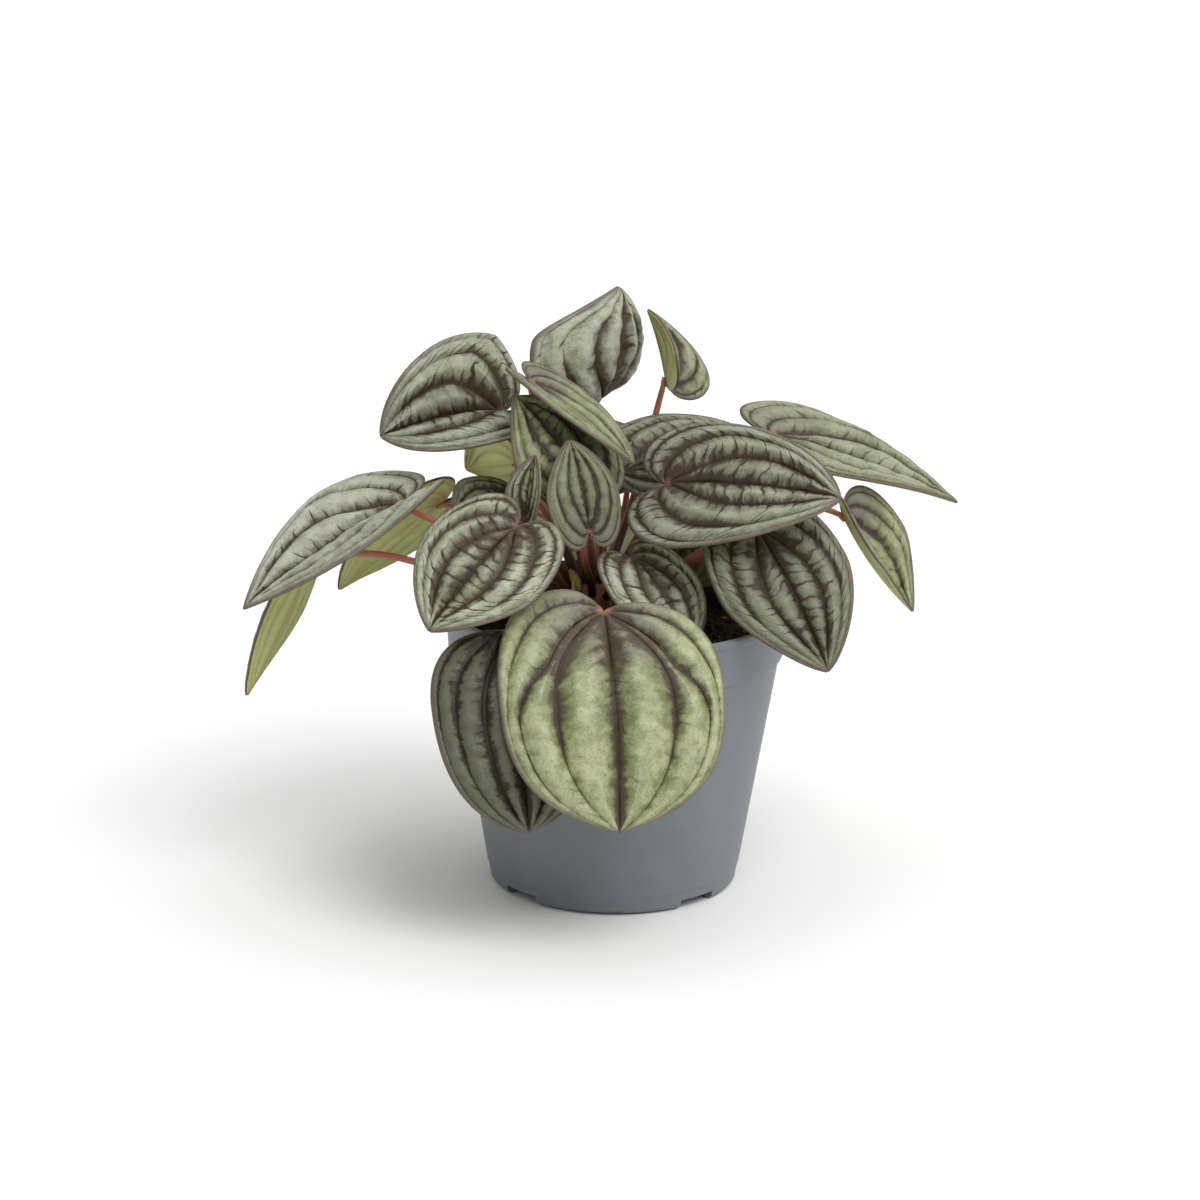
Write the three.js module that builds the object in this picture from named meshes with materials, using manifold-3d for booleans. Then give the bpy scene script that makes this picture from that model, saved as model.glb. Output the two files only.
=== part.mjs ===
// Potted peperomia: a rosette of heart-shaped, deep-veined leaves in a plastic nursery pot.
// Millimetres, Z up. The origin is the middle of the pot's foot, on the surface it stands on.

import * as THREE from 'three';
import { mergeVertices } from 'three/addons/utils/BufferGeometryUtils.js';
import Module from 'manifold-3d';

const wasm = await Module();
wasm.setup();

// ---- driving dimensions ----

const GAP = 0.3;                   // clearance between pieces that touch
const SLACK = 0.1;                 // added to it where facets stand off the true curve
const ROUND_SIDES = 40;            // facets round the pot, the soil and the crown

const POT_HEIGHT = 100;
const RIM_RADIUS = 60;             // a 12 cm pot, measured over the lip
const RIM_BAND = 17;               // height of the band below the lip
const WALL_TOP_RADIUS = 57.3;      // wall just below the band
const WALL_FOOT_RADIUS = 44.8;     // wall just above the foot
const FOOT_RADIUS = 41.5;          // outer edge of the ring that the pot stands on
const FOOT_HEIGHT = 6.6;           // faint step where the foot meets the wall
const WALL = 1.3;                  // thickness of the moulded wall
const BASE_UNDERSIDE = 3;          // the base plate is held this far off the surface
const CENTRE_FOOT_RADIUS = 14;     // round pad under the middle of the base
const NOTCH_TURN = -47.5;          // degrees from the front to the first deep notch
const DEEP_NOTCH = { width: 15, height: 3.6 };
const SHALLOW_NOTCH = { width: 10, height: 1.1 };
const DRAIN_RADIUS = 3.2;
const DRAIN_RING = 34;

const SOIL_LEVEL = 89.5;           // top of the soil at the middle of the pot
const SOIL_EDGE_DROP = 3;          // the soil is lower where it meets the wall
const SOIL_LUMP = 0.9;             // height of the lumps in its surface

const CROWN_X = -8;                // the plant stands a little left of the pot's middle
const CROWN_RADIUS = 12;
const CROWN_CENTRE_Z = 95;
const CROWN_FOOT_Z = 80;

const BLADE_THICKNESS = 1;
const BLADE_COLUMNS = 14;          // facets from one margin to the other
const BLADE_ROWS = 8;              // facets from the heart to the tip
const PANEL_PUFF = 1.9;            // how far a panel stands above the veins beside it, at most

const BROAD = 0.36;                // where a blade is widest, as a share of its length

// The blade's outline, in shares of its length.
const LOBE_SET = 0.12;             // how far outwards a lobe sets off from the heart
const LOBE_BACK = 0.34;            // how far it swings back past the heart
const LOBE_TURN = 0.16;            // how far back it turns towards the widest place
const FLANK_HOLD = 0.3;            // how long a margin keeps its width on the way to the tip
const BLUNT_HOLD = 0.8;            // how much longer it does where the tip is blunt
const BLUNT_DROP = 0.3;            // how far a blunt tip's shoulders fall back

const STALK_RADIUS = 1.4;
const STALK_SIDES = 6;
const STALK_STEPS = 8;
const STALK_SPACING = 3.5;         // room that each stalk takes on the crown
const ARRIVAL = 45;                // degrees between a stalk's end and its blade
const STALK_SWEEP = 0.36;          // how far a stalk keeps its first and its last direction

// Each leaf: where its heart (the end that its stalk holds) and its tip are, and its width.
// In degrees: roll turns the blade about its midrib, twist adds to that towards the tip, keel lifts
// both halves from the midrib, droop bends them back down towards the margin, bend arches the
// midrib, and arrival is the angle between the blade and the end of its stalk.
// point blunts the tip, broad is where the blade is widest, both as shares of its length.
// lobes shrinks or swells the two lobes beside the heart, each as a share of the usual size,
// and below 0 that side slopes away from the heart.
// bow pushes the middle of the stalk sideways, in millimetres.
const LEAVES = [
  // high leaves
  {
    heart: [-42.5, 35, 159.5], tip: [-83, 15, 155], width: 60, roll: -44, keel: 38, droop: 16, bend: 36,
    point: 0.36, broad: -0.14, lobes: [0.6, 1.4], twist: -26, bow: [0, 6, 0],
  },
  {
    heart: [-7, 38, 164.5], tip: [-1, 46, 203], width: 77, roll: 98, keel: 6, droop: 60, bend: 36,
    point: 0.16, lobes: [1.5, -0.8],
  },
  {
    heart: [17, 40, 169.5], tip: [10, 54, 193.5], width: 37.5, roll: 44, keel: 40, droop: 12, bend: 14,
    point: 0, broad: 0.08, lobes: [0.8, 1], arrival: 28, bow: [2.5, 9, 0],
  },
  {
    heart: [-30.5, 6.5, 176.6], tip: [5, -12, 152.5], width: 29, roll: -3, keel: 17, droop: 8, bend: 8,
    point: 0.08, arrival: 125, bow: [4, 3, 0],
  },
  {
    heart: [-10, -10, 144], tip: [-36, 1.5, 172.5], width: 42, roll: -26, keel: 10, droop: 20, bend: 20,
    point: 0.1,
  },
  // right side
  {
    heart: [17, -12, 145.5], tip: [75, -30, 145.5], width: 54, roll: 40, keel: 16, droop: 34, bend: 24,
    point: 0.2, broad: 0.14,
  },
  {
    heart: [1, 12, 143], tip: [48, 38, 151.5], width: 44, roll: 26, keel: 10, droop: 20, bend: 20,
    point: 0.1, lobes: [0.6, 0.3],
  },
  {
    heart: [54, 26, 154], tip: [118, 6, 136], width: 54, roll: 9, keel: 12, droop: 14, bend: 10,
    point: 0, broad: 0.06, lobes: [1.2, 0.7], arrival: 80,
  },
  {
    heart: [78, 0, 133], tip: [102.5, -10, 101], width: 35, roll: 8, keel: 44, droop: 12, bend: -26,
    point: 0.06, lobes: [1, 0.9],
  },
  {
    heart: [47, -22, 133], tip: [71, -50, 91], width: 48, roll: 24, keel: 12, droop: 30, bend: 30,
    point: 0.12,
  },
  // front
  {
    heart: [5, -20, 121], tip: [25, -36, 93], width: 38, roll: 10, keel: 12, droop: 30, bend: 40,
    point: 0.16,
  },
  {
    heart: [-4.5, -52, 111], tip: [1.5, -92, 48], width: 76, roll: 0, keel: 10, droop: 30, bend: 60,
    point: 0.38, lobes: [0.25, 0.85],
  },
  {
    heart: [-37, -54, 105], tip: [-28, -88, 46], width: 55, roll: 12, keel: 12, droop: 30, bend: 60,
    point: 0.28, lobes: [1, 0],
  },
  {
    heart: [-34, -39, 136.5], tip: [-62, -61, 106.5], width: 48, roll: -28, keel: 16, droop: 34, bend: 30,
    point: 0.16,
  },
  {
    heart: [-10, -28, 132.5], tip: [-17, -16, 161.5], width: 28, roll: 0, keel: 15, droop: 30, bend: 20,
    point: 0.12,
  },
  {
    heart: [-31, -26, 136.5], tip: [-28, -20, 157], width: 16, roll: 0, keel: 40, droop: 10, bend: 20,
    point: 0.12, bow: [0, 4, 0],
  },
  // left side
  {
    heart: [-38, 5, 137], tip: [-56, -10, 134], width: 28, roll: -20, keel: 12, droop: 20, bend: 20,
    point: 0.14,
  },
  {
    heart: [-35, 20, 144.5], tip: [-54, 34, 139], width: 33, roll: 54, keel: 12, droop: 20, bend: 20,
    point: 0.14, bow: [3, 2, 0],
  },
  {
    heart: [-74, -5, 135], tip: [-127, -28, 104], width: 61, roll: -13, keel: 21, droop: 14, bend: 14,
    point: 0.02, broad: 0.02, lobes: [1, 1.15], twist: -34,
  },
  {
    heart: [-62, 27, 128.5], tip: [-98, 18, 98.5], width: 40, roll: 46, keel: 12, droop: 20, bend: 20,
    point: 0.1,
  },
  {
    heart: [-107, 6, 112], tip: [-129.5, 0, 64.5], width: 40, roll: 32, keel: 12, droop: 16, bend: -6,
    point: 0.06,
  },
  // back
  {
    heart: [-32, 46, 122], tip: [-62, 72, 96], width: 46, roll: 0, keel: 12, droop: 30, bend: 30,
    point: 0.14, bow: [0, 0, 8],
  },
  {
    heart: [-6, 52, 119], tip: [0, 90, 81], width: 58, roll: 0, keel: 12, droop: 30, bend: 50,
    point: 0.2,
  },
  {
    heart: [32, 40, 131], tip: [54, 72, 106], width: 46, roll: 0, keel: 12, droop: 30, bend: 30,
    point: 0.16,
  },
  {
    heart: [38, 34, 115], tip: [66, 54, 87], width: 44, roll: 0, keel: 12, droop: 30, bend: 30,
    point: 0.14,
  },
  {
    heart: [-30, 28, 112], tip: [-58, 40, 96], width: 36, roll: 0, keel: 12, droop: 30, bend: 30,
    point: 0.14,
  },
  {
    heart: [4, 40, 134], tip: [-6, 60, 152], width: 34, roll: 0, keel: 12, droop: 30, bend: 20,
    point: 0.14,
  },
  // new shoot
  {
    heart: [-14, -17, 110], tip: [-16, -19, 117], width: 5, roll: 0, keel: 20, droop: 10, bend: 10,
    point: 0.14,
  },
];

const PLASTIC = { color: '#767b80', roughness: 0.55, metalness: 0 };
const PEAT = { color: '#2a211b', roughness: 0.95, metalness: 0 };
const STEM = { color: '#8a5a45', roughness: 0.6, metalness: 0 };
const STALK = { color: '#a4604f', roughness: 0.5, metalness: 0 };
const LEAF = { color: '#8d9c7c', roughness: 0.5, metalness: 0 };

const degrees = THREE.MathUtils.degToRad;

// ---- helpers ----

function toSolid(geometry) {
  const bare = geometry.clone();
  bare.deleteAttribute('normal');
  bare.deleteAttribute('uv');
  const merged = mergeVertices(bare, 1e-4);
  const triVerts = [];
  const corner = merged.index.array;
  for (let i = 0; i < corner.length; i += 3) {
    const [a, b, c] = corner.slice(i, i + 3);
    if (a !== b && b !== c && c !== a) triVerts.push(a, b, c);
  }
  return new wasm.Manifold(new wasm.Mesh({
    numProp: 3,
    vertProperties: new Float32Array(merged.attributes.position.array),
    triVerts: new Uint32Array(triVerts),
  }));
}

function toGeometry(solid) {
  const mesh = solid.getMesh();
  const geometry = new THREE.BufferGeometry();
  geometry.setAttribute('position', new THREE.BufferAttribute(new Float32Array(mesh.vertProperties), 3));
  geometry.setIndex(Array.from(mesh.triVerts));
  geometry.computeVertexNormals();
  return geometry;
}

// A profile of [radius, height] pairs turned about the Z axis.
function turned(profile, sides = ROUND_SIDES) {
  const points = profile.map(([radius, height]) => new THREE.Vector2(radius, height));
  return new THREE.LatheGeometry(points, sides).rotateX(Math.PI / 2);
}

function named(name, geometry, look) {
  const mesh = new THREE.Mesh(geometry, new THREE.MeshStandardMaterial(look));
  mesh.name = name;
  return mesh;
}

// ---- pot ----

const bandFoot = POT_HEIGHT - RIM_BAND;

function wallRadius(height) {
  const rise = (height - FOOT_HEIGHT) / (bandFoot - FOOT_HEIGHT);
  return THREE.MathUtils.lerp(WALL_FOOT_RADIUS, WALL_TOP_RADIUS, rise);
}

function potGeometry() {
  const baseTop = BASE_UNDERSIDE + WALL;
  let pot = toSolid(turned([
    [0, 0],
    [CENTRE_FOOT_RADIUS, 0],
    [CENTRE_FOOT_RADIUS + 1.5, BASE_UNDERSIDE],
    [FOOT_RADIUS - 4, BASE_UNDERSIDE],
    [FOOT_RADIUS - 3, 0],
    [FOOT_RADIUS, 0],
    [FOOT_RADIUS + 2.1, 1.4],
    [FOOT_RADIUS + 2.9, FOOT_HEIGHT],
    [WALL_FOOT_RADIUS, FOOT_HEIGHT + 0.4],
    [WALL_TOP_RADIUS, bandFoot],
    [RIM_RADIUS - 1.5, bandFoot + 0.5],
    [RIM_RADIUS - 0.6, POT_HEIGHT - 3],
    [RIM_RADIUS, POT_HEIGHT - 2.6],
    [RIM_RADIUS, POT_HEIGHT - 0.4],
    [RIM_RADIUS - 0.5, POT_HEIGHT],
    [RIM_RADIUS - 1.6, POT_HEIGHT],
    [RIM_RADIUS - 1.5 - WALL, bandFoot],
    [WALL_TOP_RADIUS - WALL, bandFoot - 1],
    [WALL_FOOT_RADIUS - WALL, FOOT_HEIGHT],
    [WALL_FOOT_RADIUS - WALL - 2, baseTop],
    [0, baseTop],
  ]));
  for (let quarter = 0; quarter < 4; quarter += 1) {
    const turn = NOTCH_TURN + quarter * 90;
    pot = pot.subtract(toSolid(notch(DEEP_NOTCH, turn)));
    pot = pot.subtract(toSolid(notch(SHALLOW_NOTCH, turn + 45)));
    pot = pot.subtract(toSolid(drainHole(turn)));
  }
  return toGeometry(pot);
}

// turn is in degrees from the front of the pot, which faces -Y
function notch({ width, height }, turn) {
  const box = new THREE.BoxGeometry(width, 12, 2 * height);
  box.translate(0, -FOOT_RADIUS, 0);
  return box.rotateZ(degrees(turn));
}

function drainHole(turn) {
  const hole = new THREE.CylinderGeometry(DRAIN_RADIUS, DRAIN_RADIUS, 12, 12).rotateX(Math.PI / 2);
  hole.translate(0, -DRAIN_RING, BASE_UNDERSIDE);
  return hole.rotateZ(degrees(turn));
}

// ---- soil and crown ----

function crownGeometry(grow = 0) {
  const profile = [[0, CROWN_FOOT_Z - grow], [CROWN_RADIUS * 0.8, CROWN_FOOT_Z - grow]];
  const radius = CROWN_RADIUS + grow;
  for (let step = 0; step <= 7; step += 1) {
    const angle = degrees(step * 90 / 7);
    profile.push([radius * Math.cos(angle), CROWN_CENTRE_Z + radius * Math.sin(angle)]);
  }
  profile[profile.length - 1][0] = 0;
  return turned(profile, 24).translate(CROWN_X, 0, 0);
}

function soilGeometry() {
  const edge = SOIL_LEVEL - SOIL_EDGE_DROP;
  const soil = turned([
    [0, BASE_UNDERSIDE + WALL + GAP],
    [WALL_FOOT_RADIUS - WALL - 2.4, BASE_UNDERSIDE + WALL + GAP],
    [wallRadius(FOOT_HEIGHT + 2) - WALL - GAP - 0.2, FOOT_HEIGHT + 2],
    [wallRadius(bandFoot - 2) - WALL - GAP - 0.2, bandFoot - 2],
    [WALL_TOP_RADIUS - WALL - GAP - 0.1, edge],
    [45, SOIL_LEVEL - 1.2],
    [32, SOIL_LEVEL - 0.4],
    [20, SOIL_LEVEL],
    [0, SOIL_LEVEL],
  ]);
  const place = soil.attributes.position;
  for (let i = 0; i < place.count; i += 1) {
    const x = place.getX(i);
    const y = place.getY(i);
    if (place.getZ(i) < edge + 0.5 || Math.hypot(x, y) < 15) continue;
    const lump = Math.sin(x * 0.31 + 1) * Math.cos(y * 0.27) + Math.sin(x * 0.13 - y * 0.19);
    place.setZ(i, place.getZ(i) + SOIL_LUMP * lump * 0.6);
  }
  return toGeometry(toSolid(soil).subtract(toSolid(crownGeometry(GAP))));
}

// ---- blades ----

// Half of a flat heart outline of unit length: up round the lobe, then down to the tip.
function outlineCurve(halfWidth, broad, point, lobe) {
  const widest = new THREE.Vector2(halfWidth, broad);
  return [
    new THREE.CubicBezierCurve(
      new THREE.Vector2(0, 0),
      new THREE.Vector2(LOBE_SET, -LOBE_BACK * lobe),
      new THREE.Vector2(halfWidth, -LOBE_TURN * lobe),
      widest,
    ),
    new THREE.CubicBezierCurve(
      widest,
      new THREE.Vector2(halfWidth, THREE.MathUtils.lerp(broad, 1, FLANK_HOLD + point * BLUNT_HOLD)),
      new THREE.Vector2(point, 1 - point * BLUNT_DROP),
      new THREE.Vector2(0, 1),
    ),
  ];
}

// Grid lines across the blade: every odd one is a vein, every even one the crest of a panel.
const VEINS = [0, 0.38, 0.72, 0.92];

function columnPlace(column) {
  const side = column - BLADE_COLUMNS / 2;
  const step = Math.abs(side);
  const lower = Math.floor(step / 2);
  const place = step % 2 === 0 ? VEINS[lower] : (VEINS[lower] + VEINS[lower + 1]) / 2;
  return Math.sign(side) * (step === BLADE_COLUMNS / 2 ? 1 : place);
}

function bladeFrame(leaf) {
  const heart = new THREE.Vector3(...leaf.heart);
  const along = new THREE.Vector3(...leaf.tip).sub(heart);
  const chord = along.length();
  along.normalize();
  const up = new THREE.Vector3(0, 0, 1).addScaledVector(along, -along.z).normalize();
  up.applyAxisAngle(along, degrees(leaf.roll));
  const across = new THREE.Vector3().crossVectors(along, up);
  const bend = degrees(leaf.bend);
  const length = chord * (bend / 2) / Math.sin(bend / 2);
  return { heart, along, up, across, bend, length };
}

function bladePoint(leaf, frame, place, row) {
  const { heart, along, up, across, bend, length } = frame;
  const lobeSize = (leaf.lobes ?? [1, 1])[place < 0 ? 0 : 1];
  const halfWidth = leaf.width / 2 / length;
  const [lobe, flank] = outlineCurve(halfWidth, leaf.broad ?? BROAD, leaf.point, lobeSize);
  const edge = row < 0.5 ? lobe.getPoint(row * 2) : flank.getPoint(row * 2 - 1);
  const pull = Math.abs(place) ** 2;
  const reach = edge.x * Math.abs(place) * length;
  const far = THREE.MathUtils.lerp(row, edge.y, pull);

  const keel = degrees(leaf.keel);
  const turn = degrees(leaf.droop) / (leaf.width / 2);
  const slope = keel - reach * turn;
  const spread = Math.sign(place) * (Math.sin(keel) - Math.sin(slope)) / turn;
  const raised = (Math.cos(slope) - Math.cos(keel)) / turn + puff(place, row, leaf.width);
  const twist = degrees(leaf.twist ?? 0) * (far - 0.5);
  const out = spread * Math.cos(twist) + raised * Math.sin(twist);
  const lift = raised * Math.cos(twist) - spread * Math.sin(twist);

  const tilt = bend * (0.5 - far);
  const run = length / bend * (Math.sin(bend / 2) - Math.sin(tilt));
  const rise = length / bend * (Math.cos(tilt) - Math.cos(bend / 2));
  return heart.clone()
    .addScaledVector(across, out)
    .addScaledVector(along, run - lift * Math.sin(tilt))
    .addScaledVector(up, rise + lift * Math.cos(tilt));
}

function puff(place, row, width) {
  const step = VEINS.findIndex((vein) => Math.abs(Math.abs(place) - vein) < 1e-6);
  const onVein = step >= 0 || Math.abs(place) === 1;
  return onVein ? 0 : Math.min(PANEL_PUFF, width / 28) * Math.sqrt(Math.sin(Math.PI * row));
}

function bladeGeometry(leaf) {
  const frame = bladeFrame(leaf);
  const sheet = new THREE.PlaneGeometry(1, 1, BLADE_COLUMNS, BLADE_ROWS);
  const place = sheet.attributes.position;
  for (let i = 0; i < place.count; i += 1) {
    const column = i % (BLADE_COLUMNS + 1);
    const row = Math.floor(i / (BLADE_COLUMNS + 1)) / BLADE_ROWS;
    const point = bladePoint(leaf, frame, columnPlace(column), row);
    place.setXYZ(i, point.x, point.y, point.z);
  }
  return thickened(sheet, BLADE_THICKNESS);
}

// Gives an open sheet a thickness: the same facets above and below, and a strip round the edge.
function thickened(sheet, thickness) {
  sheet.deleteAttribute('normal');
  sheet.deleteAttribute('uv');
  const middle = mergeVertices(sheet, 1e-4);
  const corner = middle.index.array;
  const faces = [];
  for (let i = 0; i < corner.length; i += 3) {
    const [a, b, c] = corner.slice(i, i + 3);
    if (a !== b && b !== c && c !== a) faces.push([a, c, b]);
  }
  middle.setIndex(faces.flat());
  middle.computeVertexNormals();

  const count = middle.attributes.position.count;
  const half = thickness / 2;
  const points = [];
  for (const side of [half, -half]) {
    for (let i = 0; i < count; i += 1) {
      const point = new THREE.Vector3().fromBufferAttribute(middle.attributes.position, i);
      const normal = new THREE.Vector3().fromBufferAttribute(middle.attributes.normal, i);
      points.push(...point.addScaledVector(normal, side).toArray());
    }
  }
  const edges = new Set(faces.flatMap(([a, b, c]) => [`${a},${b}`, `${b},${c}`, `${c},${a}`]));
  const index = [];
  for (const [a, b, c] of faces) {
    index.push(a, b, c, c + count, b + count, a + count);
  }
  for (const edge of edges) {
    const [a, b] = edge.split(',').map(Number);
    if (edges.has(`${b},${a}`)) continue;
    index.push(b, a, a + count, b, a + count, b + count);
  }
  const solid = new THREE.BufferGeometry();
  solid.setAttribute('position', new THREE.Float32BufferAttribute(points, 3));
  solid.setIndex(index);
  solid.computeVertexNormals();
  return solid;
}

// ---- stalks ----

const PUSH_ROUNDS = 80;
const crownCentre = new THREE.Vector3(CROWN_X, 0, CROWN_CENTRE_Z);

// Directions in which the stalks leave the crown: each towards its leaf, then pushed apart.
function stalkDirections() {
  const directions = LEAVES.map((leaf) => {
    return new THREE.Vector3(...leaf.heart).sub(crownCentre).normalize();
  });
  const room = STALK_SPACING / CROWN_RADIUS;
  for (let round = 0; round < PUSH_ROUNDS; round += 1) {
    for (const one of directions) {
      for (const other of directions) {
        const angle = one.angleTo(other);
        if (one === other || angle >= room) continue;
        const push = one.clone().sub(other).normalize().multiplyScalar((room - angle) / 2);
        one.add(push).normalize();
        other.sub(push).normalize();
      }
    }
  }
  return directions;
}

function stalkCurve(leaf, direction) {
  const { heart, along, up, bend } = bladeFrame(leaf);
  const forward = along.clone().multiplyScalar(Math.cos(bend / 2)).addScaledVector(up, Math.sin(bend / 2));
  const above = up.clone().multiplyScalar(Math.cos(bend / 2)).addScaledVector(along, -Math.sin(bend / 2));
  const arrival = degrees(leaf.arrival ?? ARRIVAL);
  const into = forward.clone().multiplyScalar(Math.cos(arrival)).addScaledVector(above, Math.sin(arrival));
  const below = BLADE_THICKNESS / 2 + GAP + SLACK + STALK_RADIUS * Math.abs(Math.cos(arrival));
  const end = heart.clone().addScaledVector(above, -below);
  const start = crownCentre.clone().addScaledVector(direction, CROWN_RADIUS + GAP + SLACK);
  const handle = start.distanceTo(end) * STALK_SWEEP;
  const bow = new THREE.Vector3(...(leaf.bow ?? [0, 0, 0]));
  return new THREE.CubicBezierCurve3(
    start,
    start.clone().addScaledVector(direction, handle).add(bow),
    end.clone().addScaledVector(into, -handle).add(bow),
    end,
  );
}

function stalkGeometry(leaf, direction) {
  const corners = [];
  for (let side = 0; side < STALK_SIDES; side += 1) {
    const angle = side * 2 * Math.PI / STALK_SIDES;
    corners.push(new THREE.Vector2(STALK_RADIUS * Math.cos(angle), STALK_RADIUS * Math.sin(angle)));
  }
  return new THREE.ExtrudeGeometry(new THREE.Shape(corners), {
    steps: STALK_STEPS,
    bevelEnabled: false,
    extrudePath: stalkCurve(leaf, direction),
  });
}

// ---- the whole plant ----

const plant = new THREE.Group();
plant.name = 'potted_peperomia';
plant.add(named('pot', potGeometry(), PLASTIC));
plant.add(named('soil', soilGeometry(), PEAT));
plant.add(named('crown', crownGeometry(), STEM));

const directions = stalkDirections();
LEAVES.forEach((leaf, i) => {
  const number = String(i + 1).padStart(2, '0');
  plant.add(named(`leaf_${number}`, bladeGeometry(leaf), LEAF));
  plant.add(named(`petiole_${number}`, stalkGeometry(leaf, directions[i]), STALK));
});

export default plant;
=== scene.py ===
# %% [markdown]
# # A potted peperomia
#
# The plant is a rosette of thick, heart-shaped leaves on thin pink stalks. It stands in a grey
# nursery pot of 12 cm, filled with peat. Each leaf has seven sunken veins that run from its heart
# to its tip, with the blade puffed up like a quilt between them. That quilting, in silver green
# with dark furrows, is what everyone notices first, so most of this lesson is about the leaves.
#
# Everything is modelled in metres. The solids of the frame say where each piece belongs.

# %% Load the frame
import bisect
import math
import random

import bmesh
import bpy
from mathutils import Matrix, Vector, geometry, kdtree, noise


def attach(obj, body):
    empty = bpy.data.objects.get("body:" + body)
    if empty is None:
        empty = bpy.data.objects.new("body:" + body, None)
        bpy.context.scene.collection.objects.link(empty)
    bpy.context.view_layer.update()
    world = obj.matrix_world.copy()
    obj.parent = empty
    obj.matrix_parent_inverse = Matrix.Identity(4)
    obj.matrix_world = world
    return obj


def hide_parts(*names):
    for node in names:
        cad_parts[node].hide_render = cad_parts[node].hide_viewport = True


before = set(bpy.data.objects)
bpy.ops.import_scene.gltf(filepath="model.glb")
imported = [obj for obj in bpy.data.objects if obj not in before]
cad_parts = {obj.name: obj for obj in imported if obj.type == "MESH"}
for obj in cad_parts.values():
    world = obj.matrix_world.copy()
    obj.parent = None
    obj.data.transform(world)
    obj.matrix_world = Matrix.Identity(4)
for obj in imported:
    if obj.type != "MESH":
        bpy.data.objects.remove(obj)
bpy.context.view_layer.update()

MM = 0.001


# %% [markdown]
# ## The camera
#
# The picture was taken from a little above the pot's rim, with a long lens from over a metre
# away, which keeps the pot's sides almost parallel. A camera looks along its own -Z axis, so it is
# first tipped up from looking straight down, then moved back from the point that it aims at.

# %% Place the camera
AIM = Vector((-5.7, 0, 100.9)) * MM
DISTANCE = 1200 * MM
ELEVATION = math.radians(15.7)
ROLL = math.radians(0.7)


def add_object(name, data):
    thing = bpy.data.objects.new(name, data)
    bpy.context.scene.collection.objects.link(thing)
    return thing


def place_camera():
    lens = bpy.data.cameras.new("camera")
    lens.sensor_width = 36
    lens.lens = 103.14
    lens.clip_end = 30
    camera = add_object("camera", lens)
    back = Vector((0, -math.cos(ELEVATION), math.sin(ELEVATION)))
    camera.matrix_world = (Matrix.Translation(AIM + back * DISTANCE)
                           @ Matrix.Rotation(math.pi / 2 - ELEVATION, 4, "X")
                           @ Matrix.Rotation(ROLL, 4, "Z"))
    bpy.context.scene.camera = camera
    print("camera at", tuple(round(c, 3) for c in camera.matrix_world.translation))


place_camera()


# %% [markdown]
# ## Helpers for materials
#
# Paint charts and colour pickers give colours as sRGB hex values, but a shader adds up light, so
# it needs linear numbers. One function does that change for every colour in this file. Another
# adds a node: its settings and its links are written in one place, which keeps a material short
# enough to read from top to bottom. The last two lay colours over each other like coats of glaze,
# and give a material its surface.

# %% Colour and node helpers
def linear(hex_colour):
    channels = [int(hex_colour[i:i + 2], 16) / 255 for i in (1, 3, 5)]
    return [c / 12.92 if c <= 0.04045 else ((c + 0.055) / 1.055) ** 2.4 for c in channels] + [1.0]


def add_node(tree, kind, inputs=(), **settings):
    """Adds a node. Its inputs go by name or in order: values, hex colours, nodes or outputs."""
    node = tree.nodes.new("ShaderNode" + kind)
    for name, value in settings.items():
        setattr(node, name, value)
    for name, value in (inputs if isinstance(inputs, dict) else dict(enumerate(inputs))).items():
        if isinstance(value, bpy.types.Node):
            value = next(output for output in value.outputs if output.enabled)
        if isinstance(value, bpy.types.NodeSocket):
            tree.links.new(value, node.inputs[name])
        elif value is not None:
            node.inputs[name].default_value = linear(value) if isinstance(value, str) else value
    return node


def new_material(name):
    material = bpy.data.materials.new(name)
    material.use_nodes = True
    material.node_tree.nodes.clear()
    return material, material.node_tree


def glaze(tree, skin, coats):
    """Lays coats over a skin, one after the other. Each has an amount, 0 to 1, and a colour."""
    for amount, colour in coats:
        skin = add_node(tree, "Mix", {0: amount, 6: skin, 7: colour}, data_type="RGBA")
    return skin


def finish_material(tree, inputs):
    surface = add_node(tree, "BsdfPrincipled", inputs)
    add_node(tree, "OutputMaterial", {"Surface": surface})


SMOOTH = {"interpolation_type": "SMOOTHSTEP"}   # for a MapRange that eases in and out


# %% [markdown]
# A piece is a bmesh that has been shaped in place. Turning it into an object, smoothing its faces,
# hanging it under the frame's root and hiding the solid that it replaces is the same every time.

# %% Piece helper
def finish_piece(bm, name, materials, replaced=None):
    mesh = bpy.data.meshes.new(name)
    bm.to_mesh(mesh)
    bm.free()
    mesh.shade_smooth()
    for material in materials:
        mesh.materials.append(material)
    piece = add_object(name, mesh)
    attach(piece, "root")
    if replaced:
        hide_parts(replaced)
    return piece


# %% [markdown]
# ## The studio
#
# A white sweep and soft light, as for a shop picture. Three wide suns stand in for softboxes: a
# sun is infinitely far away, so it lights the floor evenly, and its angle makes the shadow's edge
# soft. The large one hangs overhead and a little to the right, the next one stands at the front
# right, and a weak one at the right side. The white world fills the shadows.

# %% Floor and lights
SOFTBOXES = [                         # name, strength, angle across, direction of the light
    ("softbox_overhead", 1.4, 100, (-0.22, -0.02, -0.97)),
    ("softbox_front", 1.2, 30, (-0.38, 0.52, -0.8)),
    ("softbox_side", 0.45, 50, (-0.9, 0.25, -0.35)),
]


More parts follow.
